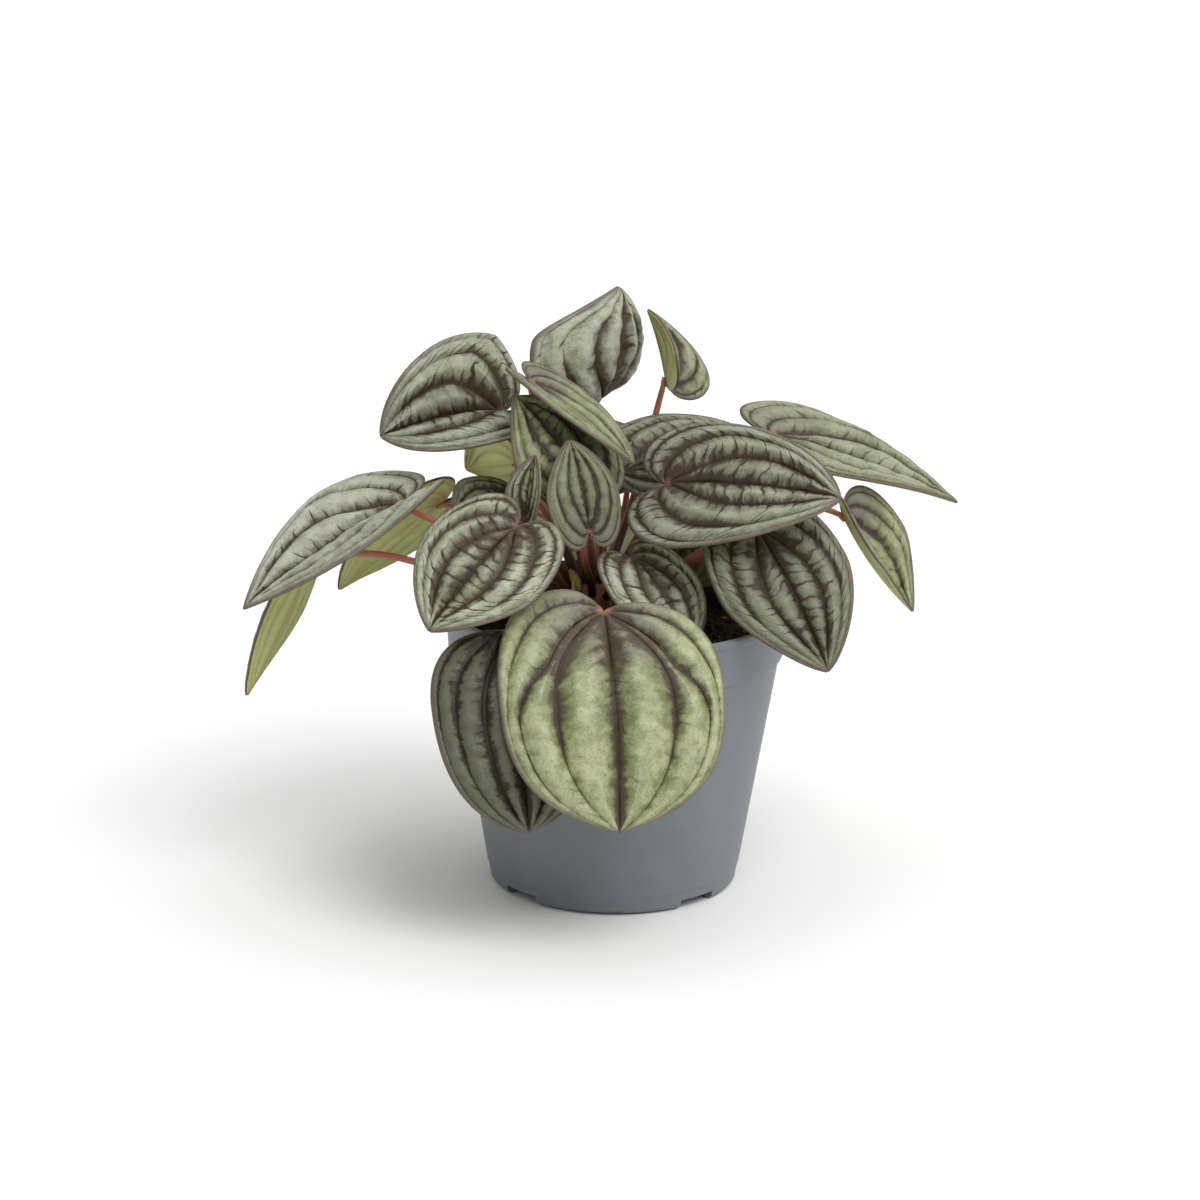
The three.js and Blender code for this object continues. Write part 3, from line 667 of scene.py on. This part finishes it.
# %% [markdown]
# ## From a flat grid to a puffed blade
#
# A blade starts as a flat grid. Its columns run from the heart to the tip, and some of them are
# veins. Moving each point of the grid by a rule bends the sheet into a heart shape, folds it at
# the midrib, curls its halves and puffs the panels. This keeps the veins on grid lines, which a
# sculpted or cut-out shape wouldn't, and so the map for the colours comes free.
#
# First, the rule for a point: place is its share of the half width, row goes from heart to tip.

# %% The rule that places a point of a blade
class Blade:
    def __init__(self, leaf):
        self.leaf = leaf
        self.heart = Vector(leaf["heart"])
        self.along = Vector(leaf["tip"]) - self.heart
        chord = self.along.length
        self.along.normalize()
        up = (Vector((0, 0, 1)) - self.along * self.along.z).normalized()
        self.up = Matrix.Rotation(math.radians(leaf["roll"]), 3, self.along) @ up
        self.across = self.along.cross(self.up)
        self.bend = math.radians(leaf["bend"])
        self.length = chord * (self.bend / 2) / math.sin(self.bend / 2)
        self.keel = math.radians(leaf["keel"])
        self.turn = math.radians(leaf["droop"]) / (leaf["width"] / 2)
        self.twist = math.radians(leaf["twist"])

    def outline(self, rows, side):
        """Points of one half of the flat outline, from the heart round the lobe to the tip."""
        half = self.leaf["width"] / 2 / self.length
        broad = self.leaf["broad"]
        point = self.leaf["point"]
        swell = self.leaf["lobes"][0 if side < 0 else 1]
        widest = Vector((half, broad))
        lobe = geometry.interpolate_bezier(
            Vector((0, 0)), Vector((0.12, -0.34 * swell)), Vector((half, -0.16 * swell)), widest,
            rows // 2 + 1)
        flank = geometry.interpolate_bezier(
            widest, Vector((half, broad + (1 - broad) * (0.3 + 0.8 * point))),
            Vector((point, 1 - 0.3 * point)), Vector((0, 1)), rows // 2 + 1)
        return lobe + flank[1:]

    def point(self, place, row, edge, raised):
        """A point in mm: each half curls from the midrib, then the blade is twisted and arched."""
        reach = edge.x * abs(place) * self.length
        far = row + (edge.y - row) * place * place
        slope = self.keel - reach * self.turn
        spread = math.copysign((math.sin(self.keel) - math.sin(slope)) / self.turn, place)
        raised += (math.cos(slope) - math.cos(self.keel)) / self.turn
        twist = self.twist * (far - 0.5)
        out = spread * math.cos(twist) + raised * math.sin(twist)
        lift = raised * math.cos(twist) - spread * math.sin(twist)
        tilt = self.bend * (0.5 - far)
        run = self.length / self.bend * (math.sin(self.bend / 2) - math.sin(tilt))
        rise = self.length / self.bend * (math.cos(tilt) - math.cos(self.bend / 2))
        return (self.heart + self.across * out + self.along * (run - lift * math.sin(tilt))
                + self.up * (rise + lift * math.cos(tilt)))


# %% [markdown]
# The grid is laid out from the veins: four panels in each half, and as many columns in each as
# its width needs. A leaf may move its side veins on the way from the heart to the tip, so that one
# seems to branch off another. The bare sheet, without any puff, is measured first. It gives the
# run of each point, which is its distance from the heart along its own column.

# %% Lay out and measure the bare sheet
CELL = 0.85              # mm between points of the grid


def vein_places(leaf, share):
    """Places of the midrib, the side veins and the margin at this share of the way to the tip."""
    layout = leaf["veins"]
    stops = [stop for stop, _ in layout]
    here = bisect.bisect_right(stops, share) - 1
    if here == len(layout) - 1:
        return (0, *layout[here][1], 1)
    mix = (share - stops[here]) / (stops[here + 1] - stops[here])
    mix = mix * mix * (3 - 2 * mix)
    return (0, *[a + (b - a) * mix for a, b in zip(layout[here][1], layout[here + 1][1])], 1)


def grid_columns(leaf):
    """For each column of the grid, how many panels it is from the midrib: -4 to 4."""
    layouts = [vein_places(leaf, stop) for stop, _ in leaf["veins"]]
    side = []
    for panel in range(4):
        width = max(places[panel + 1] - places[panel] for places in layouts) * leaf["width"] / 2
        steps = max(3, round(width / CELL))
        side += [panel + step / steps for step in range(steps)]
    return [-count for count in reversed(side[1:] + [4])] + side + [4]


def panel_of(count):
    return min(int(abs(count)), 3)


def half_width_share(count, places):
    panel = panel_of(count)
    share = places[panel] + (places[panel + 1] - places[panel]) * (abs(count) - panel)
    return math.copysign(share, count)


def measure_sheet(blade, columns, rows, outlines):
    bare, run = {}, {}
    for row in range(rows + 1):
        places = vein_places(blade.leaf, row / rows)
        for column, count in enumerate(columns):
            edge = outlines[count > 0][row]
            here = blade.point(half_width_share(count, places), row / rows, edge, 0.0)
            bare[column, row] = here
            run[column, row] = 0.0
            if row:
                run[column, row] = run[column, row - 1] + (here - bare[column, row - 1]).length
    return bare, run


# %% [markdown]
# Cross veins leave each main vein every few millimetres, slanted outwards and towards the tip. No
# two are alike, so their places and depths are drawn from a seeded random generator, and a slow
# noise makes them wander. Their count, interpolated between them, is the U of the map.

# %% Lay the cross veins
class CrossVeins:
    def __init__(self, number, leaf, columns, bare, run):
        self.columns, self.bare, self.run = columns, bare, run
        self.seed = Vector((number * 17.3, number * 7.7, 0))
        self.known = {}
        rng = random.Random(number)
        spacing = leaf["cross"]
        self.places, self.depths = {}, {}
        for side in (-1, 1):
            for panel in range(4):
                places, depths = [-12.0], [0.0]
                while places[-1] < max(run.values()) + 2:
                    places.append(places[-1] + spacing * rng.uniform(0.55, 1.45))
                    depths.append(rng.choice(leaf["depths"]))
                self.places[side, panel] = places
                self.depths[side, panel] = depths

    def at(self, column, row, side, panel):
        """The count of cross veins at a point of the grid, and the depth of the nearest ones."""
        key = (column, row, side, panel)
        if key not in self.known:
            here = self.bare[column, row]
            root = self.bare[self.columns.index(side * panel), row]
            away = (here - root).length
            wander = noise.noise(here * 0.21 + self.seed) * 1.9
            wander += noise.noise(here * 0.55 + self.seed) * 0.7
            slid = self.run[column, row] - 0.45 * away - 0.012 * away * away + wander
            places, depths = self.places[side, panel], self.depths[side, panel]
            above = min(max(bisect.bisect(places, slid), 1), len(places) - 1)
            share = (slid - places[above - 1]) / (places[above] - places[above - 1])
            depth = depths[above - 1] + (depths[above] - depths[above - 1]) * share
            self.known[key] = (above - 1 + share, depth)
        return self.known[key]


# %% [markdown]
# Now the blade itself. The relief has three sizes: the puff of each panel between two veins, the
# small pillows between cross veins, and a slow wave of the whole blade. The sheet is closed at the
# heart and the tip, turned the right way up, and given its flesh by a Solidify modifier.

# %% Shape one blade
def map_faces(bm, grid, columns, cross):
    """Writes the vein map and the depth of the cross veins on the corners of the faces."""
    uv = bm.loops.layers.uv["vein_map"]
    cross_depth = bm.loops.layers.float["cross_depth"]
    key_of = {vert: key for key, vert in grid.items()}
    for face in bm.faces:
        middle = sum(columns[key_of[vert][0]] for vert in face.verts) / 4
        side = 1 if middle > 0 else -1
        for loop in face.loops:
            column, row = key_of[loop.vert]
            u, depth = cross.at(column, row, side, panel_of(middle))
            loop[uv].uv = (u, columns[column])
            loop[cross_depth] = depth


def nearest(points):
    tree = kdtree.KDTree(len(points))
    for i, point in enumerate(points):
        tree.insert(point, i)
    tree.balance()
    return tree


# for the midrib and the three side veins: how many mm from the vein its dark band ends, and how
# many times thinner than the midrib the vein is
BAND_WIDTHS = (2.1, 1.9, 1.2, 0.55)
VEIN_THINNESS = (1, 1.1, 1.5, 2.4)
MOST_PUFF = 3.4          # mm
SPROUT_WIDTH = 10        # mm; blades up to this width, and their stalks, are thinner


def build_leaf(number, leaf, skins):
    blade = Blade(leaf)
    columns = grid_columns(leaf)
    rows = max(16, 2 * round(blade.length * 1.15 / CELL / 2))
    outlines = [blade.outline(rows, side) for side in (-1, 1)]
    bare, run = measure_sheet(blade, columns, rows, outlines)
    cross = CrossVeins(number, leaf, columns, bare, run)

    bm = bmesh.new()
    bm.loops.layers.uv.new("vein_map")
    bm.loops.layers.float.new("cross_depth")
    layer = {name: bm.verts.layers.float.new(name) for name in (
        "vein_gap", "furrow", "edge_gap", "heart_share", "freshness", "painted_shade")}
    bmesh.ops.create_grid(bm, x_segments=len(columns) - 1, y_segments=rows, size=0.5)
    grid = {(round((vert.co.x + 0.5) * (len(columns) - 1)), round((vert.co.y + 0.5) * rows)): vert
            for vert in bm.verts}
    map_faces(bm, grid, columns, cross)

    vein_points = [(bare[key], abs(round(columns[key[0]])), run[key]) for key in bare
                   if columns[key[0]] in (0, -1, 1, -2, 2, -3, 3)]
    veins = nearest([point for point, _, _ in vein_points])
    margin = nearest([bare[key] for key in bare if abs(columns[key[0]]) == 4])
    size = math.sqrt(leaf["width"] / 54) * leaf["furrows"]
    puff = min(MOST_PUFF, leaf["width"] / 22)

    for (column, row), vert in grid.items():
        here = bare[column, row]
        count = columns[column]
        panel = panel_of(count)
        places = vein_places(leaf, row / rows)
        _, found, gap = veins.find(here)
        _, rank, vein_run = vein_points[found]
        climb = vein_run / blade.length
        taper = (0.85 + 0.65 * math.exp(-(climb / 0.3) ** 2)) * (1.1 - 0.45 * climb)
        fade = max(0.12, min(1.0, (leaf["ends"][rank] - climb) / 0.25))
        vert[layer["vein_gap"]] = gap * VEIN_THINNESS[rank] / fade
        vert[layer["furrow"]] = gap / (size * BAND_WIDTHS[rank] * taper * fade)
        vert[layer["edge_gap"]] = margin.find(here)[2]
        vert[layer["heart_share"]] = (here - blade.heart).length / blade.length
        vert[layer["freshness"]] = leaf["fresh"]
        vert[layer["painted_shade"]] = leaf["dark"]

        u, depth = cross.at(column, row, 1 if count >= 0 else -1, panel)
        crest = math.sin(math.pi * min(abs(count) - panel, 1.0)) ** 0.6 if abs(count) < 4 else 0.0
        crest *= min(1.0, (places[panel + 1] - places[panel]) / 0.32)
        swell = 1 + 0.4 * noise.noise(here * 0.1 + cross.seed)
        swell += 0.25 * noise.noise(here * 0.25 + cross.seed)
        pillow = abs(math.sin(math.pi * u)) ** 0.6 - 1
        ends = math.sqrt(max(0.0, math.sin(math.pi * row / rows)))
        share = half_width_share(count, places)
        wave = noise.noise(here * 0.045 + cross.seed) * 0.7 * abs(share)
        raised = (puff * swell + 0.45 * min(depth, 1.0) * pillow) * crest + wave * min(1, puff)
        edge = outlines[count > 0][row]
        vert.co = blade.point(share, row / rows, edge, raised * ends) * MM

    bmesh.ops.remove_doubles(bm, verts=bm.verts, dist=0.001 * MM)
    bmesh.ops.recalc_face_normals(bm, faces=bm.faces)
    if sum(face.normal.dot(blade.up) for face in bm.faces) < 0:
        bmesh.ops.reverse_faces(bm, faces=bm.faces)
    solid = f"leaf_{number:02d}" if number <= len(LEAVES) else None
    piece = finish_piece(bm, f"blade_{number:02d}", skins, solid)
    flesh = piece.modifiers.new("flesh", "SOLIDIFY")
    flesh.thickness = (0.9 if leaf["width"] > SPROUT_WIDTH else 0.7) * MM
    flesh.offset = 0
    flesh.material_offset = 1
    flesh.material_offset_rim = 2
    return len(piece.data.polygons)


# %% Make all the blades
def build_leaves():
    skins = [waxy_upper_skin(), smooth_lower_skin(), pink_margin()]
    faces = [build_leaf(number, leaf, skins)
             for number, leaf in enumerate(LEAVES + YOUNG_LEAVES, 1)]
    print("blades:", len(faces), "with", sum(faces), "faces before they get their thickness")


build_leaves()


# %% [markdown]
# ## The stalks
#
# Each stalk is a smooth, juicy tube of about 3 mm, coral pink where light reaches it, and painted
# nearly black towards its foot, as painted shade of the crowded crown. It leaves the crown in its
# own direction, sweeps outwards and comes up under its leaf's heart. A ring of edges extruded step
# by step along a curve gives exactly that, and it can be thicker at its foot and thinner where it
# runs out under the blade.

# %% Stalk skin
def coral_stalk_skin():
    material, tree = new_material("juicy_coral_stalk_skin")
    place = add_node(tree, "TexCoord").outputs["Object"]
    climb = add_node(tree, "Attribute", attribute_name="climb").outputs["Fac"]
    blots = add_node(tree, "TexNoise", {"Vector": place, "Scale": 220, "Detail": 3})
    skin = add_node(tree, "Mix", {0: blots, 6: "#A0594A", 7: "#BD7866"}, data_type="RGBA")
    # painted shade: for most of its length up from the crown, the stalk darkens to almost black,
    # as in the shaded middle of the rosette
    foot = add_node(tree, "MapRange", [climb, 0.05, 0.75, 0.96, 0], **SMOOTH)
    neck = add_node(tree, "MapRange", [climb, 0.92, 1, 0, 0.5], **SMOOTH)
    skin = glaze(tree, skin, [(foot, "#2E1A11"), (neck, "#A58C62")])
    streaks = add_node(tree, "Mapping", {"Vector": place, "Scale": (1, 1, 0.15)})
    fine = add_node(tree, "TexNoise", {"Vector": streaks, "Scale": 1500, "Detail": 2})
    bump = add_node(tree, "Bump", {"Height": fine, "Strength": 0.2, "Distance": 0.0002})
    finish_material(tree, {"Base Color": skin, "Roughness": 0.42, "IOR": 1.42, "Normal": bump})
    return material


# %% Where the stalks leave the crown
CROWN_CENTRE = Vector((CROWN_X, 0, 95))   # the middle of its dome, in mm
CROWN_RADIUS = 12


def stalk_directions():
    """One direction per leaf, towards its heart, then pushed apart until each has room."""
    directions = [(Vector(leaf["heart"]) - CROWN_CENTRE).normalized() for leaf in LEAVES]
    room = 3.5 / CROWN_RADIUS   # as an angle: 3.5 mm from middle to middle
    for _ in range(80):
        for one in directions:
            for other in directions:
                if one is other:
                    continue
                angle = one.angle(other)
                if angle < room:
                    push = (one - other).normalized() * (room - angle) / 2
                    one += push
                    one.normalize()
                    other -= push
                    other.normalize()
    return directions


def stalk_path(leaf, direction, steps):
    blade = Blade(leaf)
    half_bend = blade.bend / 2
    forward = blade.along * math.cos(half_bend) + blade.up * math.sin(half_bend)
    above = blade.up * math.cos(half_bend) - blade.along * math.sin(half_bend)
    arrival = math.radians(leaf["arrival"])
    into = forward * math.cos(arrival) + above * math.sin(arrival)
    end = blade.heart - above * (0.6 + 0.7 * abs(math.cos(arrival)))
    start = CROWN_CENTRE + direction * (CROWN_RADIUS + 0.4)
    handle = 0.36 * (end - start).length
    bow = Vector(leaf["bow"])
    path = geometry.interpolate_bezier(start, start + direction * handle + bow,
                                       end - into * handle + bow, end, steps + 1)
    # it runs on under the blade for a little, as the start of the midrib
    return path + [end + forward * 1.3 + above * 0.1, end + forward * 2.8 + above * 0.4]


# %% Extrude the stalks
def build_stalk(number, leaf, direction, skin):
    steps = 28
    path = stalk_path(leaf, direction, steps)
    slim = 1.0 if leaf["width"] > SPROUT_WIDTH else 0.8
    bm = bmesh.new()
    climb = bm.verts.layers.float.new("climb")
    ring = bmesh.ops.create_circle(bm, cap_ends=False, segments=12, radius=1.0)["verts"]
    heading = (path[1] - path[0]).normalized()
    frame_now = Matrix.Translation(path[0]) @ heading.to_track_quat("Z", "Y").to_matrix().to_4x4()
    bmesh.ops.transform(bm, matrix=frame_now, verts=ring)
    edges = list(bm.edges)
    bmesh.ops.contextual_create(bm, geom=edges)
    thickness_now = 1.0

    for step in range(len(path)):
        share = min(step / steps, 1.0)
        thickness = slim * (1.25 + 0.25 * (1 - share) ** 3 - 0.3 * share ** 8)
        thickness *= (1.0, 0.85, 0.4)[max(0, step - steps)]
        before = path[max(step - 1, 0)]
        after = path[min(step + 1, len(path) - 1)]
        new_heading = (after - before).normalized()
        if step:
            made = bmesh.ops.extrude_edge_only(bm, edges=edges)["geom"]
            ring = [item for item in made if isinstance(item, bmesh.types.BMVert)]
            edges = [item for item in made if isinstance(item, bmesh.types.BMEdge)]
        swing = heading.rotation_difference(new_heading).to_matrix().to_4x4()
        grow = Matrix.Scale(thickness / thickness_now, 4)
        move = Matrix.Translation(path[step]) @ swing @ grow @ Matrix.Translation(-before)
        bmesh.ops.transform(bm, matrix=move, verts=ring)
        for vert in ring:
            vert[climb] = share
        heading = new_heading
        thickness_now = thickness
    bmesh.ops.contextual_create(bm, geom=edges)
    bmesh.ops.scale(bm, verts=bm.verts, vec=(MM, MM, MM))
    bmesh.ops.recalc_face_normals(bm, faces=bm.faces)
    solid = f"petiole_{number:02d}" if number <= len(LEAVES) else None
    finish_piece(bm, f"stalk_{number:02d}", [skin], solid)


def build_stalks():
    skin = coral_stalk_skin()
    directions = stalk_directions() + [Vector((0.93, 0.3, 0.2)).normalized()]
    for number, (leaf, direction) in enumerate(zip(LEAVES + YOUNG_LEAVES, directions), 1):
        build_stalk(number, leaf, direction, skin)
    print("stalks:", len(directions))


build_stalks()


# %% [markdown]
# ## The crown
#
# All stalks grow from a short, knobbly stem at the soil. It hardly shows between the leaves, but
# from above its scars and knobs fill the middle of the rosette.

# %% Crown
def build_crown():
    material, tree = new_material("scarred_stem_skin")
    place = add_node(tree, "TexCoord").outputs["Object"]
    scars = add_node(tree, "TexVoronoi", {"Vector": place, "Scale": 300})
    skin = add_node(tree, "Mix", {0: scars, 6: "#8A5C48", 7: "#5A3B2C"}, data_type="RGBA")
    bump = add_node(tree, "Bump", {"Height": scars, "Strength": 0.5, "Distance": 0.0006})
    finish_material(tree, {"Base Color": skin, "Roughness": 0.6, "IOR": 1.4, "Normal": bump})

    wall = [(11.6, height) for height in (83, 86, 89, 92, 95)]
    dome = [(11.9 * math.cos(angle), 95 + 11.9 * math.sin(angle))
            for angle in map(math.radians, range(10, 90, 10))]
    profile = [(0, 80), (9.5, 80)] + wall + dome + [(0, 106.9)]
    bm = spin_profile(profile, steps=48, centre_x=CROWN_X)
    for vert in bm.verts:
        if vert.co.z > 84 * MM:
            outwards = (vert.co / MM - CROWN_CENTRE).normalized()
            dent = 0.5 * noise.noise(vert.co * 320) - 0.3
            vert.co += outwards * dent * MM
    finish_piece(bm, "rosette_crown", [material], "crown")


build_crown()
